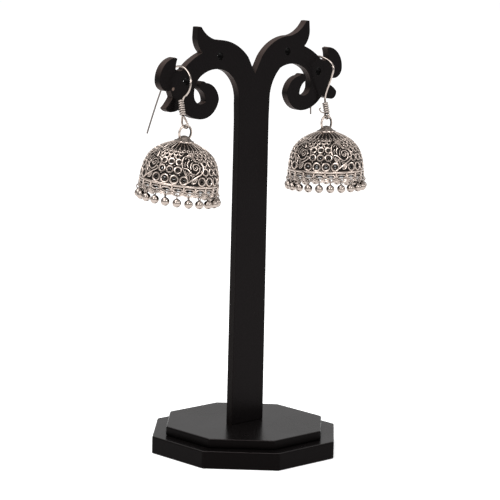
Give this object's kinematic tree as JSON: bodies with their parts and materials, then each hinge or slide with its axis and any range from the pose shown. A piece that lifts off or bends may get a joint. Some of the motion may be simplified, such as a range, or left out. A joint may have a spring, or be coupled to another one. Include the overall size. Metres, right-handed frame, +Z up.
{
  "type": "jhumka earring pair on display stand",
  "caption": "Pair of pierced bell-shaped jhumka earrings with bead drops, hanging by ear wires from a black scrolled display stand on an octagonal foot.",
  "frame": {"origin": "middle of the foot's underside, on the surface that the stand rests on", "axes": "+Z up, +X along the stand's board, -Y towards the front, where the bells hang"},
  "size_m": [0.1008, 0.0656, 0.1549],
  "materials": {
    "black_paint": "satin black paint on board",
    "ear_wire": "bright silver plate",
    "antique_silver": "oxidised silver plate, dark in the recesses",
    "bead_silver": "polished silver plate"
  },
  "bodies": {
    "stand": {"base_plate": "black_paint", "base_step": "black_paint", "stand_board": "black_paint", "left_ear_hook": "ear_wire", "right_ear_hook": "ear_wire"},
    "left_bell": {"left_dome": "antique_silver", "left_drop_01": "bead_silver", "left_drop_02": "bead_silver", "left_drop_03": "bead_silver", "left_drop_04": "bead_silver", "left_drop_05": "bead_silver", "left_drop_06": "bead_silver", "left_drop_07": "bead_silver", "left_drop_08": "bead_silver", "left_drop_09": "bead_silver", "left_drop_10": "bead_silver", "left_drop_11": "bead_silver", "left_drop_12": "bead_silver", "left_drop_13": "bead_silver", "left_drop_14": "bead_silver", "left_drop_15": "bead_silver", "left_drop_16": "bead_silver", "left_drop_17": "bead_silver", "left_drop_18": "bead_silver", "left_drop_19": "bead_silver", "left_drop_20": "bead_silver", "left_drop_21": "bead_silver"},
    "right_bell": {"right_dome": "antique_silver", "right_drop_01": "bead_silver", "right_drop_02": "bead_silver", "right_drop_03": "bead_silver", "right_drop_04": "bead_silver", "right_drop_05": "bead_silver", "right_drop_06": "bead_silver", "right_drop_07": "bead_silver", "right_drop_08": "bead_silver", "right_drop_09": "bead_silver", "right_drop_10": "bead_silver", "right_drop_11": "bead_silver", "right_drop_12": "bead_silver", "right_drop_13": "bead_silver", "right_drop_14": "bead_silver", "right_drop_15": "bead_silver", "right_drop_16": "bead_silver", "right_drop_17": "bead_silver", "right_drop_18": "bead_silver", "right_drop_19": "bead_silver", "right_drop_20": "bead_silver", "right_drop_21": "bead_silver"}
  },
  "joints": [
    {"name": "left_bell_swing", "type": "hinge", "parent": "stand", "child": "left_bell", "pos_m": [-0.0357, -0.00495, 0.1205], "axis": [0.0479, 0.9967, 0.0662], "range_deg": [-35, 35]},
    {"name": "right_bell_swing", "type": "hinge", "parent": "stand", "child": "right_bell", "pos_m": [0.0334, -0.0046, 0.1191], "axis": [-0.048, 0.9983, -0.0324], "range_deg": [-35, 30]}
  ]
}
